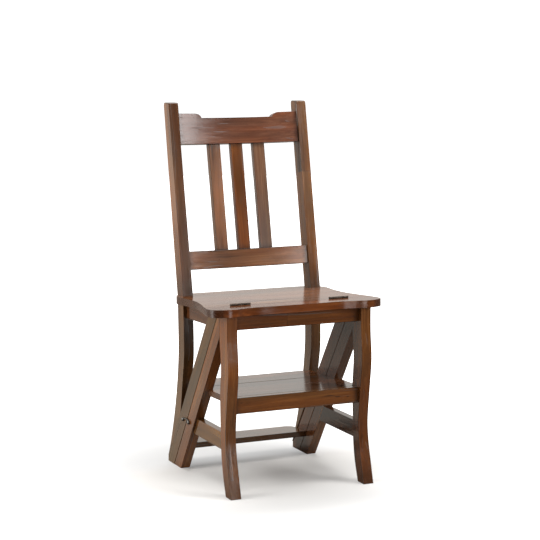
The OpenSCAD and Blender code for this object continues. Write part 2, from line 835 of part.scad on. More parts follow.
module rear_leg(side) {
    color("saddlebrown")
        placed(side)
            difference() {
                plate(rear_leg_profile, leg_in, half_w);
                plate(rear_stile_room, leg_in - over, half_w + over);
                rear_rail_tenon(glue);
                dowel_bore();
            }
}

module rear_stile(side) {
    color("saddlebrown")
        placed(side)
            difference() {
                intersection() {
                    plate(rear_stile_profile, stile_in, half_w);
                    plate([[0, -over], [heel_y, -over], [heel_y, wood_top(heel_y)],
                        [0, wood_top(0)]], stile_in - over, half_w + over);
                }
                shelf_tab(glue);
                tread_tab(glue);
                side_bore(keeper_y, neck_d + 2 * glue);
            }
}

module side_rail(side) {
    front = rear_stile_top_y + glue;
    low = wood_top(rear_leg_y) - side_rail_h;
    low_front = wood_top(front) - side_rail_h;
    color("saddlebrown")
        placed(side)
            difference() {
                plate([[front - over, wood_top(front - over)],
                    [front - over, low_front + over * slope],
                    [rear_leg_y - glue, low], [rear_leg_y - glue, wood_top(rear_leg_y)]],
                    leg_in, leg_in + rail_t);
                plate(rear_stile_room, leg_in - over, half_w);
                translate([0, -glue, 0])
                    plate(rear_leg_profile, leg_in - over, half_w);
            }
}

module rear_seat_rail() {
    y1 = rear_rail_y + rail_t;
    low = wood_top(rear_rail_y) - rear_rail_h;
    color("saddlebrown")
        placed() {
            plate([[rear_rail_y, low], [y1, low], [y1, wood_top(y1)],
                [rear_rail_y, wood_top(rear_rail_y)]], -leg_in + glue, leg_in - glue);
            for (side = [-1, 1])
                mirror([side < 0 ? 1 : 0, 0, 0])
                    rear_rail_tenon();
        }
}

// Outline of a tread with rounded rear corners, from above
function tread_outline(w, y0, y1) = concat(
    [[-w, y0], [w, y0]],
    arc([w - tread_r, y1 - tread_r], tread_r, 0, 90, 6),
    arc([-w + tread_r, y1 - tread_r], tread_r, 90, 180, 6));

module shelf_rear_board() {
    color("peru")
        placed() {
            falling(shelf_h, shelf_t)
                polygon(tread_outline(stile_in - glue, shelf_split_y + half_board_gap, shelf_back_y));
            for (side = [-1, 1])
                mirror([side < 0 ? 1 : 0, 0, 0])
                    shelf_tab();
        }
}

tread_y = split_y(tread_h) + half_gap + 2;
function tread_top(y) = tread_h - (y - tread_y) * slope;
module low_tread() {
    color("peru")
        placed() {
            difference() {
                falling(tread_h + (tread_y - hinge_y) * slope, tread_t)
                    polygon(tread_outline(stile_in - glue, tread_y, tread_y + tread_len));
                for (side = [-1, 1])
                    mirror([side < 0 ? 1 : 0, 0, 0])
                        plate([[rear_line_y(0) - glue, 0], [post_top_y + tread_len, 0],
                            [post_top_y + tread_len, ankle_z], [rear_line_y(ankle_z) - glue, ankle_z]],
                            leg_in - glue, half_w);
            }
            for (side = [-1, 1])
                mirror([side < 0 ? 1 : 0, 0, 0])
                    tread_tab();
        }
}

module hinge_leaf_rear(side) {
    color("dimgray")
        placed()
            on_seat()
                translate([side * hinge_x, 0, 0])
                    hinge_leaf(1, 1);
}

module hook_keepers() {
    color("dimgray")
        for (side = [-1, 1])
            placed(side)
                stud(keeper_y, neck_d + 4.5);
}

// Hooks

module side_hook(side) {
    color("dimgray")
        placed(side)
            hook();
}

front_leg(-1);  // front_leg_left
front_leg(1);  // front_leg_right
front_apron();
seat_front_strip();
front_stile(-1);  // front_stile_left
front_stile(1);  // front_stile_right
stretcher(-1);  // stretcher_left
stretcher(1);  // stretcher_right
shelf_front_rail();
shelf_front_board();
hinge_leaf_front(-1);  // hinge_leaf_front_left
hinge_leaf_front(1);  // hinge_leaf_front_right
hinge_pins();
leaf_screws(-1);  // front_leaf_screws
hook_pivots();
seat_board();
back_post(-1);  // back_post_left
back_post(1);  // back_post_right
crest_rail();
lower_back_rail();
slat(-1);  // slat_left
slat(0);  // slat_middle
slat(1);  // slat_right
rear_leg(-1);  // rear_leg_left
rear_leg(1);  // rear_leg_right
rear_stile(-1);  // rear_stile_left
rear_stile(1);  // rear_stile_right
side_rail(-1);  // side_rail_left
side_rail(1);  // side_rail_right
rear_seat_rail();
shelf_rear_board();
low_tread();
post_dowels();
hinge_leaf_rear(-1);  // hinge_leaf_rear_left
hinge_leaf_rear(1);  // hinge_leaf_rear_right
leaf_screws(1);  // rear_leaf_screws
hook_keepers();
side_hook(-1);  // hook_left
side_hook(1);  // hook_right
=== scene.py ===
import math

import bmesh
import bpy
from mathutils import Matrix, Vector


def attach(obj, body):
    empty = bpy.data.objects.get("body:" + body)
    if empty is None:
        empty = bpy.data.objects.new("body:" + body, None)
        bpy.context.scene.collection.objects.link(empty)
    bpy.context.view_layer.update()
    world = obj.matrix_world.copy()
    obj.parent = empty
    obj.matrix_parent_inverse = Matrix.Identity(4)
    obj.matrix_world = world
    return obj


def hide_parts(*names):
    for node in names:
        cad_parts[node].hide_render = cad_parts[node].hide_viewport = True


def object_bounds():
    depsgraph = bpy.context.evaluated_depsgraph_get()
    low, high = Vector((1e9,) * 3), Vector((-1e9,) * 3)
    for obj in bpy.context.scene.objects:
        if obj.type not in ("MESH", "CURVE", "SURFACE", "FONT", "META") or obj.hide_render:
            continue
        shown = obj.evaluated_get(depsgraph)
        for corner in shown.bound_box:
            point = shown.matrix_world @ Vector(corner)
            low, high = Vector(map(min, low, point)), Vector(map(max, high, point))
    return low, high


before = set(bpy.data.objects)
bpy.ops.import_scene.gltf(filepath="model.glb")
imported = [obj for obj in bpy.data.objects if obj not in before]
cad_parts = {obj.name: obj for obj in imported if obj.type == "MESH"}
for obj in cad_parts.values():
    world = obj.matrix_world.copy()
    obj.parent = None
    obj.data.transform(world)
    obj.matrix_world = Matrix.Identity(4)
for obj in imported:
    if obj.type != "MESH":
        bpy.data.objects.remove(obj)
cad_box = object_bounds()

# The chair is in metres, its origin on the floor in the middle of its box, its front towards -Y.
# The rear half rides on its own body, because it turns over into steps.
FRONT, BACK = "front_frame", "back_frame"

# The top of the posts, and the inner faces of the legs and posts
TOP = cad_box[1].z
LEG_IN = 0.159
BETWEEN = (-LEG_IN, LEG_IN)

# Slopes of the back and of the side stiles
BACK_LEAN = math.radians(10.94)
STILE_LEAN = math.radians(-34.46)

# How far the arrises of stout, common and thin pieces are rounded
STOUT, COMMON, THIN = 0.0016, 0.0014, 0.0012
POST_CROWN = 0.003
SEAT_NOSE, SEAT_EDGE = 0.0045, 0.0035

# A place along the grain that no piece reaches
FAR = 9.0


# Modelling helpers

def deselect():
    if bpy.context.object and bpy.context.object.mode != "OBJECT":
        bpy.ops.object.mode_set(mode="OBJECT")
    bpy.ops.object.select_all(action="DESELECT")


def pick(piece):
    """The piece alone is selected and active."""
    deselect()
    piece.select_set(True)
    bpy.context.view_layer.objects.active = piece


def copy_of(name):
    """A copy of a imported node, its loose triangles merged into one clean shell."""
    piece = bpy.data.objects.new("eased_" + name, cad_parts[name].data.copy())
    bpy.context.scene.collection.objects.link(piece)
    piece.data.materials.clear()
    pick(piece)
    bpy.ops.object.mode_set(mode="EDIT")
    bpy.ops.mesh.select_mode(type="VERT")
    bpy.ops.mesh.select_all(action="SELECT")
    bpy.ops.mesh.remove_doubles(threshold=0.00002)
    bpy.ops.mesh.dissolve_limited(angle_limit=math.radians(0.3))
    bpy.ops.mesh.select_all(action="DESELECT")
    bpy.ops.object.mode_set(mode="OBJECT")
    return piece


def select_arrises(piece, wanted, sharpest=math.radians(28)):
    """Selects the sharp edges whose middle passes a test, and says how many there are."""
    pick(piece)
    bpy.ops.object.mode_set(mode="EDIT")
    bpy.ops.mesh.select_mode(type="EDGE")
    bpy.ops.mesh.select_all(action="DESELECT")
    shell = bmesh.from_edit_mesh(piece.data)
    count = 0
    for edge in shell.edges:
        sharp = len(edge.link_faces) == 2 and edge.calc_face_angle(0) > sharpest
        edge.select = sharp and wanted((edge.verts[0].co + edge.verts[1].co) / 2)
        count += edge.select
    shell.select_flush_mode()
    bmesh.update_edit_mesh(piece.data)
    return count


def ease(piece, radius, wanted, segments):
    """Rounds the chosen arrises of a piece over; the new faces take its second material."""
    if select_arrises(piece, wanted):
        bpy.ops.mesh.bevel(offset=radius, offset_type="OFFSET", segments=segments, profile=0.5,
                           affect="EDGES", clamp_overlap=True, loop_slide=True, material=1)
    bpy.ops.mesh.select_all(action="DESELECT")
    bpy.ops.object.mode_set(mode="OBJECT")


def smooth(piece, angle=math.radians(40)):
    """Smooth shading that leaves the flat faces flat right up to their rounded arrises."""
    pick(piece)
    bpy.ops.object.shade_smooth_by_angle(angle=angle)
    bpy.ops.object.mode_set(mode="EDIT")
    bpy.ops.mesh.select_mode(type="EDGE")
    bpy.ops.mesh.select_all(action="DESELECT")
    bpy.ops.mesh.edges_select_sharp(sharpness=angle)
    bpy.ops.mesh.mark_sharp()
    bpy.ops.mesh.select_all(action="DESELECT")
    bpy.ops.object.mode_set(mode="OBJECT")
    bpy.ops.object.modifier_add(type="WEIGHTED_NORMAL")
    weighted = piece.modifiers[-1]
    weighted.keep_sharp = True
    bpy.ops.object.modifier_apply(modifier=weighted.name)
    deselect()


# Node helpers

def group(name, inputs, outputs):
    """A node group with named sockets, and its end nodes."""
    tree = bpy.data.node_groups.new(name, "ShaderNodeTree")
    for label, kind, value in inputs:
        socket = tree.interface.new_socket(label, in_out="INPUT", socket_type=kind)
        if value is not None:
            socket.default_value = value
    for label, kind in outputs:
        tree.interface.new_socket(label, in_out="OUTPUT", socket_type=kind)
    return tree, tree.nodes.new("NodeGroupInput"), tree.nodes.new("NodeGroupOutput")


def node(tree, kind, links=(), **settings):
    """Adds a node, sets its fields or sockets and links its inputs."""
    made = tree.nodes.new(kind)
    for label, value in settings.items():
        if hasattr(made, label):
            setattr(made, label, value)
        else:
            made.inputs[label.replace("_", " ")].default_value = value
    for socket, source in links:
        tree.links.new(source, made.inputs[socket])
    return made


def feed(tree, socket, value):
    """Links a socket to a source, or sets it to a plain value."""
    if hasattr(value, "is_output"):
        tree.links.new(value, socket)
    else:
        socket.default_value = value


def calc(tree, operation, a, b=0.0):
    """A Math node; each operand is a socket or a number."""
    made = node(tree, "ShaderNodeMath", operation=operation)
    feed(tree, made.inputs[0], a)
    feed(tree, made.inputs[1], b)
    return made.outputs[0]


def total(tree, *values):
    """The sum of sockets and numbers."""
    result = values[0]
    for value in values[1:]:
        result = calc(tree, "ADD", result, value)
    return result


def part(tree, value, share, middle=0.0):
    """A value's departure from its middle, scaled to a share."""
    return calc(tree, "MULTIPLY", calc(tree, "SUBTRACT", value, middle), share)


def spread(tree, value, low, high, to_low=0.0, to_high=1.0):
    """A clamped smooth remap of a value."""
    made = node(tree, "ShaderNodeMapRange", interpolation_type="SMOOTHSTEP")
    feed(tree, made.inputs["Value"], value)
    feed(tree, made.inputs["From Min"], low)
    feed(tree, made.inputs["From Max"], high)
    feed(tree, made.inputs["To Min"], to_low)
    feed(tree, made.inputs["To Max"], to_high)
    return made.outputs[0]


def mix(tree, factor, a, b, blend="MIX"):
    """A colour mix; factor and colours are sockets or values."""
    made = node(tree, "ShaderNodeMix", data_type="RGBA", blend_type=blend)
    feed(tree, made.inputs[0], factor)
    feed(tree, made.inputs[6], a)
    feed(tree, made.inputs[7], b)
    return made.outputs[2]


def vector_calc(tree, operation, a, b):
    """A Vector Math node on a socket and a fixed vector."""
    made = node(tree, "ShaderNodeVectorMath", [(0, a)], operation=operation)
    made.inputs[1].default_value = b
    return made


def new_material(name):
    """A material, its node tree and its shader."""
    material = bpy.data.materials.new(name)
    material.use_nodes = True
    return material, material.node_tree, material.node_tree.nodes["Principled BSDF"]


# Wood

# The stain's three tones
STAIN = {
    "Dark": (0.030, 0.0125, 0.0060),
    "Middle": (0.120, 0.0420, 0.0150),
    "Light": (0.26, 0.098, 0.034),
}

# Streaks are multiplied by a hue from a cool brown to orange
COOL_STREAK = (0.92, 1.03, 1.10, 1)
WARM_STREAK = (1.10, 0.98, 0.84, 1)

# Noise in the grain: turns per metre along and across it, detail, roughness, distortion
GRAIN = {
    "cloud": (4.0, 12, 2.0, 0.5, 0.0),
    "figure": (1.6, 42, 2.0, 0.55, 0.5),
    "fibre": (7.0, 260, 2.0, 0.6, 0.0),
    "vein": (2.6, 150, 1.0, 0.5, 0.4),
    "pore": (60.0, 1000, 1.0, 0.5, 0.0),
    "warmth": (3.0, 30, 1.0, 0.5, 0.0),
}
NOISE_MIDDLE = 0.5
THINNEST_STRIP = 0.001

# The turns that bring a piece's grain onto X
ALONG = (0, 0, 0)
FORE_AND_AFT = (0, 0, math.radians(90))


def leaning(lean):
    """The turn that brings a direction leaning back from the vertical onto X."""
    turned = Matrix.Rotation(math.radians(90), 3, "Y") @ Matrix.Rotation(lean, 3, "X")
    return tuple(turned.to_euler())


def grain_noise(tree, along, across, up, seed):
    """The layers of noise, drawn out along a grain that bends slowly."""
    place = node(tree, "ShaderNodeCombineXYZ", [(0, along), (1, across), (2, up)]).outputs[0]
    place = node(tree, "ShaderNodeVectorMath", [(0, place), (1, seed)], operation="ADD").outputs[0]
    bend = node(tree, "ShaderNodeTexNoise", [("Vector", place)], Scale=4.0, Detail=1.0)
    bent = node(tree, "ShaderNodeVectorMath", [(0, bend.outputs["Color"])], operation="SCALE", Scale=0.012)
    held = node(tree, "ShaderNodeVectorMath", [(0, place), (1, bent.outputs[0])], operation="ADD")
    layers = {}
    for name, (lengthways, sideways, detail, rough, distortion) in GRAIN.items():
        drawn = node(tree, "ShaderNodeMapping", [("Vector", held.outputs[0])],
                     Scale=(lengthways, sideways, sideways))
        noise = node(tree, "ShaderNodeTexNoise", [("Vector", drawn.outputs[0])], Scale=1.0,
                     Detail=detail, Roughness=rough, Distortion=distortion)
        layers[name] = noise.outputs["Fac"]
    return layers


def stained_wood_group():
    """Stained and varnished hardwood, in metres, with X along the grain.

    Tone runs from 0, the darkest stain, to 1, the lightest. Within Reach of both ends of the stretch
    From..To, where the piece meets others, the wood is darker as painted shade, and end grain drinks more
    stain. Strip is the width of glued-up strips along Y, 0 for a single board, and Break the place of a
    joint along the grain. Turned is how far a face turns across the grain before its end grain shows."""
    tree, given, put = group(
        "stained_wood",
        [("Vector", "NodeSocketVector", None), ("Normal", "NodeSocketVector", None),
         ("Seed", "NodeSocketVector", None),
         ("Dark", "NodeSocketColor", STAIN["Dark"] + (1,)),
         ("Middle", "NodeSocketColor", STAIN["Middle"] + (1,)),
         ("Light", "NodeSocketColor", STAIN["Light"] + (1,)),
         ("Tone", "NodeSocketFloat", 0.0),
         ("From", "NodeSocketFloat", -FAR), ("To", "NodeSocketFloat", FAR),
         ("Strip", "NodeSocketFloat", 0.0), ("Break", "NodeSocketFloat", FAR),
         ("Turned", "NodeSocketFloat", 0.45), ("Reach", "NodeSocketFloat", 0.016)],
        [("Color", "NodeSocketColor"), ("Roughness", "NodeSocketFloat"), ("Height", "NodeSocketFloat")])
    given = given.outputs
    along, across, up = node(tree, "ShaderNodeSeparateXYZ", [(0, given["Vector"])]).outputs
    # Each strip, and the wood beyond a joint, has its own tone and its own grain
    has_strips = calc(tree, "GREATER_THAN", given["Strip"], THINNEST_STRIP)
    share = calc(tree, "DIVIDE", across, calc(tree, "MAXIMUM", given["Strip"], THINNEST_STRIP))
    strip = calc(tree, "MULTIPLY", calc(tree, "FLOOR", share), has_strips)
    beyond = calc(tree, "GREATER_THAN", along, given["Break"])
    lot = total(tree, part(tree, strip, 3.7), part(tree, beyond, 9.3))
    luck = node(tree, "ShaderNodeTexWhiteNoise", [("W", lot)], noise_dimensions="1D").outputs["Value"]
    lifted = total(tree, up, part(tree, lot, 0.31))
    noise = grain_noise(tree, along, across, lifted, given["Seed"])
    tone = total(tree, 0.5, given["Tone"],
                 part(tree, noise["cloud"], 1.1, NOISE_MIDDLE),
                 part(tree, noise["figure"], 0.7, NOISE_MIDDLE),
                 part(tree, noise["fibre"], 0.6, NOISE_MIDDLE),
                 part(tree, luck, 0.2, NOISE_MIDDLE))
    low = mix(tree, spread(tree, tone, 0.0, 0.5), given["Dark"], given["Middle"])
    colour = mix(tree, spread(tree, tone, 0.45, 1.0), low, given["Light"])
    hue = mix(tree, spread(tree, noise["warmth"], 0.36, 0.64), COOL_STREAK, WARM_STREAK)
    colour = mix(tree, 0.8, colour, hue, "MULTIPLY")
    veins = spread(tree, noise["vein"], 0.62, 0.76, 0.0, 0.4)
    colour = mix(tree, veins, colour, given["Dark"])
    pores = spread(tree, noise["pore"], 0.60, 0.70)
    colour = mix(tree, part(tree, pores, 0.32), colour, given["Dark"])
    # A fine dark line between strips and at the joint
    to_line = calc(tree, "ABSOLUTE", calc(tree, "SUBTRACT", share, calc(tree, "ROUND", share)))
    to_line = calc(tree, "MULTIPLY", to_line, given["Strip"])
    seam = calc(tree, "MULTIPLY", spread(tree, to_line, 0.0002, 0.0008, 1.0, 0.0), has_strips)
    to_joint = calc(tree, "ABSOLUTE", calc(tree, "SUBTRACT", along, given["Break"]))
    seam = calc(tree, "MAXIMUM", seam, spread(tree, to_joint, 0.0003, 0.0012, 1.0, 0.0))
    colour = mix(tree, part(tree, seam, 0.55), colour, given["Dark"])
    # Painted shade near the joints, and end grain, which drinks more stain
    inset = calc(tree, "MINIMUM", calc(tree, "SUBTRACT", along, given["From"]),
                 calc(tree, "SUBTRACT", given["To"], along))
    painted_joint_shade = spread(tree, inset, 0.0, given["Reach"], 0.55, 0.0)
    facing = node(tree, "ShaderNodeSeparateXYZ", [(0, given["Normal"])]).outputs[0]
    ends = spread(tree, calc(tree, "ABSOLUTE", facing), given["Turned"],
                  calc(tree, "MULTIPLY", given["Turned"], 2.0), 0.0, 0.75)
    colour = mix(tree, calc(tree, "MAXIMUM", painted_joint_shade, ends), colour, given["Dark"])
    rough = total(tree, 0.155, part(tree, noise["fibre"], 0.12, NOISE_MIDDLE), part(tree, pores, 0.04),
                  part(tree, ends, 0.15), part(tree, veins, 0.6))
    high = total(tree, part(tree, noise["figure"], 9.0), part(tree, noise["fibre"], 0.7),
                 part(tree, pores, -0.3), part(tree, veins, -0.4), part(tree, seam, -1.0))
    tree.links.new(colour, put.inputs["Color"])
    tree.links.new(rough, put.inputs["Roughness"])
    tree.links.new(high, put.inputs["Height"])
    return tree


STAINED = stained_wood_group()


def marked(tree, colour, place, marks):
    """Lays small dark marks over a colour, each a place and its three half-widths."""
    for centre, half in marks:
        moved = vector_calc(tree, "SUBTRACT", place, centre).outputs[0]
        sized = vector_calc(tree, "DIVIDE", moved, half).outputs[0]
        away = node(tree, "ShaderNodeVectorMath", [(0, sized)], operation="LENGTH").outputs["Value"]
        colour = mix(tree, spread(tree, away, 0.6, 1.1, 0.85, 0.0), colour, STAIN["Dark"] + (1,))
    return colour


def wood(name, seed, turn=ALONG, tone=0.0, tint=(1, 1, 1), ends=(-FAR, FAR), reach=0.016, strip=0.0,
         joint=FAR, turned_by=0.45, inner=None, inward=-0.12, outward=0.0, marks=(), matt=False):
    """Varnished wood whose grain runs along X of the turned coordinates.

    Tint is the piece's share of the common stain's red, green and blue; it carries the piece's own stain and
    also painted light and shade. Inner is -1 or 1 for a piece on the left or the right, whose faces towards
    the chair's middle and away from it are made lighter or darker by the two side shares: painted light and
    painted shade. Marks are small dark spots, each a place and its three half-widths. Matt wood has no
    varnish."""
    material, tree, shader = new_material(name)
    place = node(tree, "ShaderNodeTexCoord").outputs
    turned = node(tree, "ShaderNodeMapping", [("Vector", place["Object"])], Rotation=turn)
    faced = node(tree, "ShaderNodeMapping", [("Vector", place["Normal"])], Rotation=turn,
                 vector_type="VECTOR")
    grain = node(tree, "ShaderNodeGroup", node_tree=STAINED)
    tree.links.new(turned.outputs[0], grain.inputs["Vector"])
    tree.links.new(faced.outputs[0], grain.inputs["Normal"])
    settings = {"Seed": (0.37 * seed, 0.113 * seed, 0.071 * seed), "Tone": tone, "From": ends[0],
                "To": ends[1], "Strip": strip, "Break": joint, "Turned": turned_by, "Reach": reach}
    for label, colour in STAIN.items():
        settings[label] = [value * share for value, share in zip(colour, tint)] + [1]
    for label, value in settings.items():
        grain.inputs[label].default_value = value
    # Painted light and shade: the faces towards the chair's middle and away from it are made lighter or
    # darker
    if inner:
        side = node(tree, "ShaderNodeSeparateXYZ", [(0, place["Normal"])]).outputs[0]
        towards = part(tree, side, -inner)
        sided = total(tree, tone, spread(tree, towards, 0.5, 0.9, 0.0, inward),
                      spread(tree, towards, -0.9, -0.5, outward, 0.0))
        tree.links.new(sided, grain.inputs["Tone"])
    colour = marked(tree, grain.outputs["Color"], place["Object"], marks)
    tree.links.new(colour, shader.inputs["Base Color"])
    tree.links.new(grain.outputs["Roughness"], shader.inputs["Roughness"])
    bump = node(tree, "ShaderNodeBump", [("Height", grain.outputs["Height"])], Strength=0.2, Distance=0.0002)
    tree.links.new(bump.outputs[0], shader.inputs["Normal"])
    shader.inputs["IOR"].default_value = 1.5
    if matt:
        shader.inputs["Specular IOR Level"].default_value = 0.1
    return material


# The wooden pieces, eased along their arrises

def everywhere(middle):
    return True


def between_legs(middle):
    """Leaves out the tenons, which lie inside the legs and posts."""
    return abs(middle.x) < LEG_IN - 0.002


def at_top(middle):
    return middle.z > TOP - 0.01


seeds = iter(range(1, 99))

# Each piece's share of the common stain's red, green and blue: partly its own stain, partly painted light,
# shade and reflection
STAIN_AND_LIGHT_TINTS = {
    "back_post_left": (0.71, 0.82, 1.01),
    "back_post_right": (0.98, 1.08, 0.91),
    "crest_rail": (0.90, 0.88, 1.25),
    "front_apron": (0.79, 0.64, 0.36),
    "front_leg_left": (1.09, 1.03, 0.76),
    "front_leg_right": (0.76, 0.68, 0.46),
    "front_stile_left": (0.83, 0.87, 0.81),
    "front_stile_right": (0.55, 0.52, 0.50),
    "low_tread": (0.60, 0.70, 0.70),
    "lower_back_rail": (1.33, 1.45, 1.66),
    "rear_leg_left": (0.48, 0.60, 0.60),
    "rear_leg_right": (0.60, 0.78, 0.87),
    "rear_stile_left": (0.54, 0.77, 0.73),
    "rear_stile_right": (0.60, 0.55, 0.52),
    "seat_front_strip": (0.76, 0.60, 0.41),
    "shelf_front_rail": (0.84, 0.82, 0.57),
    "side_rail_left": (0.42, 0.42, 0.40),
    "slat_left": (1.72, 2.02, 2.44),
    "slat_middle": (0.86, 0.70, 0.35),
    "slat_right": (0.89, 1.24, 2.04),
    "stretcher_left": (0.75, 0.83, 0.54),
    "stretcher_right": (0.50, 0.50, 0.50),
}

# Knots and nicks, each a place and its three half-widths
POST_KNOT = [((-0.1792, 0.142, 0.6636), (0.0018, 0.006, 0.0018))]
SHELF_RAIL_KNOTS = [
    ((0.080, -0.165, 0.2165), (0.022, 0.02, 0.0020)),
    ((0.104, -0.165, 0.2125), (0.014, 0.02, 0.0022)),
    ((0.131, -0.165, 0.2100), (0.006, 0.02, 0.0018)),
    ((-0.144, -0.165, 0.2194), (0.0045, 0.02, 0.0016)),
]
BACK_RAIL_NICKS = [
    ((-0.0772, 0.109, 0.5154), (0.0014, 0.02, 0.0014)),
    ((-0.0478, 0.109, 0.5163), (0.0012, 0.02, 0.0012)),
]
SEAT_NOSE_NICKS = [
    ((-0.1864, -0.19, 0.432), (0.0014, 0.02, 0.0014)),
    ((-0.1462, -0.183, 0.4282), (0.0014, 0.02, 0.0014)),
]

# Joints in the wood: across the apron, and up the right post
APRON_JOINT = -0.027
POST_JOINT = 0.7385

# Where painted shade darkens the wood along the grain, near where pieces meet: the feet, the posts above the
# seat, the slats in their rails
FEET = (0.0, FAR)
POST_FOOT = (0.45, FAR)
SLAT_ENDS = (0.552, 0.816)
SEAT_STRIP = 0.09


def dressed(name, body, radius, wanted=everywhere, slot="frame_wood", arris=-0.35, segments=3,
            matt_arris=False, crown=0.0, **grain):
    """A wooden node in its stain, with its arrises rounded and darker."""
    piece = copy_of(name)
    grain.update(seed=next(seeds), tint=STAIN_AND_LIGHT_TINTS.get(name, (1, 1, 1)))
    piece.data.materials.append(wood("stain_" + name, **grain))
    piece.data.materials.append(wood("stain_" + name + "_arris", tone=arris, matt=matt_arris, **grain))
    if crown:
        ease(piece, crown, at_top, segments)
    ease(piece, radius, wanted, segments)
    smooth(piece)
    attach(piece, body)
    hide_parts(name)


def side_pieces():
    for side, k in (("left", -1), ("right", 1)):
        left = k < 0
        # Every side piece takes painted light and shade on its faces towards and away from the chair's
        # middle
        dressed("front_leg_" + side, FRONT, STOUT, turn=leaning(0), inner=k, ends=FEET, reach=0.08)
        # The stiles' arrises, those along the split among them, are darker and matt: stain gathered there,
        # and painted shade that deepens the split's line
        dressed("front_stile_" + side, FRONT, COMMON, turn=leaning(STILE_LEAN), arris=-0.5,
                matt_arris=True, inner=k)
        dressed("stretcher_" + side, FRONT, COMMON, turn=FORE_AND_AFT, inner=k)
        dressed("back_post_" + side, BACK, STOUT, turn=leaning(BACK_LEAN), crown=POST_CROWN,
                inner=k, outward=0.25, ends=POST_FOOT, reach=0.07, joint=FAR if left else POST_JOINT,
                marks=POST_KNOT if left else ())
        dressed("rear_leg_" + side, BACK, COMMON, turn=leaning(0), inner=k, inward=0.08,
                outward=0.15, ends=FEET, reach=0.05)
        # Darker, matt arrises here too: stain and painted shade along the split
        dressed("rear_stile_" + side, BACK, COMMON, turn=leaning(STILE_LEAN), arris=-0.5,
                matt_arris=True, inner=k)
        dressed("side_rail_" + side, BACK, COMMON, turn=FORE_AND_AFT, inner=k)


def rails():
    dressed("front_apron", FRONT, COMMON, between_legs, ends=BETWEEN, joint=APRON_JOINT)
    dressed("shelf_front_rail", FRONT, COMMON, between_legs, ends=BETWEEN, marks=SHELF_RAIL_KNOTS)
    dressed("crest_rail", BACK, STOUT, between_legs, arris=-0.25, ends=BETWEEN)
    dressed("lower_back_rail", BACK, COMMON, between_legs, arris=-0.25, ends=BETWEEN,
            marks=BACK_RAIL_NICKS)
    dressed("rear_seat_rail", BACK, COMMON, between_legs, ends=BETWEEN)


def boards():
    dressed("seat_front_strip", FRONT, SEAT_NOSE, slot="board_wood", segments=4, turned_by=0.2,
            marks=SEAT_NOSE_NICKS)
    dressed("seat_board", BACK, SEAT_EDGE, slot="board_wood", strip=SEAT_STRIP)
    dressed("shelf_front_board", FRONT, THIN, slot="board_wood")
    dressed("shelf_rear_board", BACK, THIN, slot="board_wood")
    dressed("low_tread", BACK, STOUT, slot="board_wood")


def slats():
    for which in ("left", "middle", "right"):
        dressed("slat_" + which, BACK, THIN, turn=leaning(BACK_LEAN), arris=-0.2, ends=SLAT_ENDS)


# Metalwork and dowels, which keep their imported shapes

def metal(name, colour, rough):
    """Worn metal with blotches of darker patina."""
    material, tree, shader = new_material(name)
    place = node(tree, "ShaderNodeTexCoord").outputs["Object"]
    blotch = node(tree, "ShaderNodeTexNoise", [("Vector", place)], Scale=260.0, Detail=4.0).outputs["Fac"]
    patina = tuple(c * 0.4 for c in colour) + (1,)
    bare = mix(tree, spread(tree, blotch, 0.35, 0.7), patina, colour + (1,))
    tree.links.new(bare, shader.inputs["Base Color"])
    tree.links.new(spread(tree, blotch, 0.3, 0.7, rough + 0.2, rough), shader.inputs["Roughness"])
    shader.inputs["Metallic"].default_value = 1.0
    return material


def dress_node(name, material):
    """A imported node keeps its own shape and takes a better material."""
    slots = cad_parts[name].data.materials
    slots.clear()
    slots.append(material)


def metalwork():
    antique = metal("antique_dark_metal", (0.10, 0.08, 0.065), 0.42)
    for name in ("hinge_leaf_front_left", "hinge_leaf_front_right", "hinge_leaf_rear_left",
                 "hinge_leaf_rear_right", "hinge_pins"):
        dress_node(name, antique)
    screws = metal("aged_screws", (0.20, 0.16, 0.11), 0.38)
    for name in ("front_leaf_screws", "rear_leaf_screws"):
        dress_node(name, screws)
    dulled = metal("dulled_steel", (0.20, 0.185, 0.17), 0.36)
    for name in ("hook_left", "hook_right", "hook_pivots", "hook_keepers"):
        dress_node(name, dulled)


side_pieces()
rails()
boards()
slats()
metalwork()
dress_node("post_dowels", wood("plain_dowel_wood", next(seeds), turn=leaning(0), tone=0.3))


# Floor, light and camera

FLOOR_RADIUS = 9
SHADOW_MIDDLE = (-0.05, 0.1, 0)
BLACK = (0, 0, 0, 1)
WHITE = (1, 1, 1, 1)
# The floor's colour as the camera sees it below the chair and behind it, where this colour and a glow
# together paint a soft shadow, and as it lights the undersides
FLOOR_BELOW = (0.60, 0.585, 0.565, 1)
FLOOR_BEHIND = (0.25, 0.246, 0.24, 1)
FLOOR_BOUNCE = (0.28, 0.28, 0.28, 1)
# The floor as the varnish mirrors it, in front and behind
MIRRORED_FRONT = (0.02, 0.02, 0.02, 1)
MIRRORED_BEHIND = (0.35, 0.32, 0.28, 1)

WALL_WHITE = (1.0, 0.98, 0.93, 1)

# Each softbox's azimuth, height, distance, size, glow and aim
SOFTBOXES = {
    "left": (-95, 1.2, 3.0, (2.0, 2.2), 8.5, (0, 0, 0.45)),
    "right_front": (50.5, 1.7, 3.2, (1.8, 1.8), 10.5, (0, 0, 0.45)),
    "front": (8.5, 0.95, 4.4, (1.3, 1.8), 6.5, (0, 0, 0.45)),
    "overhead": (180, 3.2, 0.3, (3.0, 3.0), 4.4, (0, -0.3, 0)),
}

# The camera solved from the photograph's own edges
EYE = (-1.63474, -3.66342, 1.0556)
EYE_YAW = math.radians(-24.146)
EYE_PITCH = math.radians(-7.886)
EYE_LENS = 111.396
EYE_SENSOR = 36


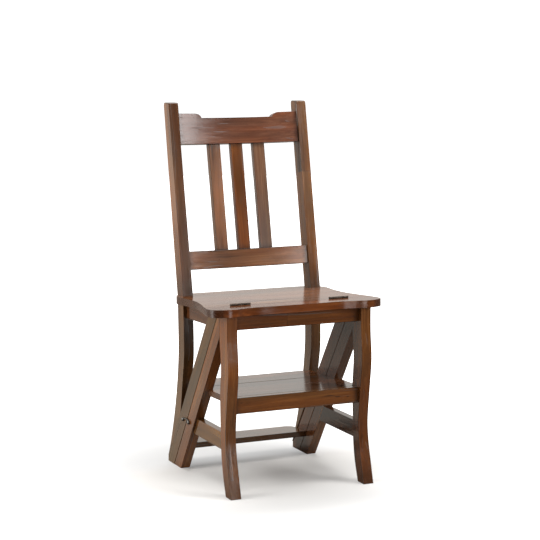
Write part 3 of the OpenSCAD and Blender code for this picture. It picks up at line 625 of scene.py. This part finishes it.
def pale_floor():
    """A pale floor that turns white around the chair's soft shadow, which the camera sees partly painted:
    darker colour below and in front of the chair, and a glow that lightens it behind and further off.
    """
    bpy.ops.mesh.primitive_circle_add(vertices=64, radius=FLOOR_RADIUS, fill_type="NGON",
                                      location=(0, 0, 0))
    floor = bpy.context.object
    floor.name = "studio_floor"
    pale, tree, shader = new_material("pale_floor")
    shader.inputs["Roughness"].default_value = 0.7
    shader.inputs["Specular IOR Level"].default_value = 0.2
    place = node(tree, "ShaderNodeTexCoord").outputs["Object"]
    depth = node(tree, "ShaderNodeSeparateXYZ", [(0, place)]).outputs[1]
    rays = node(tree, "ShaderNodeLightPath").outputs
    # Painted shade and light for the camera: the floor is darker below the chair and towards black in front
    # of it, and glows behind it, so the shadow looks softer than the lamps cast it
    behind = spread(tree, depth, 0.07, 0.18)
    shown = mix(tree, behind, FLOOR_BELOW, FLOOR_BEHIND)
    shown = mix(tree, spread(tree, depth, -0.34, -0.14, 0.45, 0.0), shown, BLACK)
    # The varnish and the undersides see less of the floor than the camera does
    seen = mix(tree, rays["Is Diffuse Ray"], shown, FLOOR_BOUNCE)
    mirrored = mix(tree, spread(tree, depth, -0.8, 0.2), MIRRORED_FRONT, MIRRORED_BEHIND)
    tree.links.new(mix(tree, rays["Is Glossy Ray"], seen, mirrored), shader.inputs["Base Color"])
    # Painted light: a glow the camera alone sees, rising away from the shadow's middle and behind the chair
    away = vector_calc(tree, "DISTANCE", place, SHADOW_MIDDLE).outputs["Value"]
    painted_floor_glow = total(tree, spread(tree, away, 0.12, 0.9, 0.0, 1.2), part(tree, behind, 0.48))
    painted_floor_glow = calc(tree, "MULTIPLY", painted_floor_glow, rays["Is Camera Ray"])
    far_off = spread(tree, depth, 1.5, 6.5, 0.0, 0.6)
    shader.inputs["Emission Color"].default_value = WHITE
    tree.links.new(calc(tree, "MAXIMUM", painted_floor_glow, far_off), shader.inputs["Emission Strength"])
    floor.data.materials.append(pale)


def pale_room():
    """A bright wall behind the chair, a dim room in front of it."""
    world = bpy.data.worlds.new("pale_studio")
    bpy.context.scene.world = world
    world.use_nodes = True
    tree = world.node_tree
    glow = tree.nodes["Background"]
    way = node(tree, "ShaderNodeTexCoord").outputs["Generated"]
    at = node(tree, "ShaderNodeSeparateXYZ", [(0, way)]).outputs
    wall = calc(tree, "MULTIPLY", spread(tree, at[1], -0.05, 0.5),
                spread(tree, at[2], 0.3, 0.75, 1.0, 0.15))
    seen = node(tree, "ShaderNodeLightPath").outputs["Is Camera Ray"]
    lit = calc(tree, "MULTIPLY", total(tree, wall, 0.05), spread(tree, at[2], 0.06, 0.18, 0.68, 0.92))
    tree.links.new(mix(tree, seen, WALL_WHITE, WHITE), glow.inputs["Color"])
    tree.links.new(calc(tree, "MAXIMUM", lit, part(tree, seen, 1.15)), glow.inputs["Strength"])


def softbox(name, azimuth, height, distance, size, glow, aim):
    """A rectangle of light round the chair; azimuth 0 is in front, 90 to the right."""
    light = bpy.data.lights.new(name, "AREA")
    light.shape = "RECTANGLE"
    light.size, light.size_y = size
    light.energy = glow * math.pi * size[0] * size[1]
    lamp = bpy.data.objects.new(name, light)
    turn = math.radians(azimuth)
    lamp.location = (distance * math.sin(turn), -distance * math.cos(turn), height)
    lamp.rotation_euler = (Vector(aim) - lamp.location).to_track_quat("-Z", "Y").to_euler()
    bpy.context.scene.collection.objects.link(lamp)


def photo_camera():
    forward = Vector((-math.sin(EYE_YAW) * math.cos(EYE_PITCH),
                      math.cos(EYE_YAW) * math.cos(EYE_PITCH), math.sin(EYE_PITCH)))
    right = Vector((math.cos(EYE_YAW), math.sin(EYE_YAW), 0))
    up = right.cross(forward)
    eye = bpy.data.objects.new("photo_camera", bpy.data.cameras.new("photo_camera"))
    bpy.context.scene.collection.objects.link(eye)
    eye.matrix_world = Matrix.Translation(EYE) @ Matrix((right, up, -forward)).transposed().to_4x4()
    eye.data.sensor_width = EYE_SENSOR
    eye.data.lens = EYE_LENS
    eye.data.clip_start, eye.data.clip_end = 0.05, 60
    bpy.context.scene.camera = eye


def plain_colours():
    """Colours are shown as they are, with no film look."""
    view = bpy.context.scene.view_settings
    view.view_transform = "Standard"
    view.look = "None"
    view.exposure = 0.0


deselect()
pale_floor()
pale_room()
for name, settings in SOFTBOXES.items():
    softbox(name, *settings)
photo_camera()
plain_colours()
deselect()
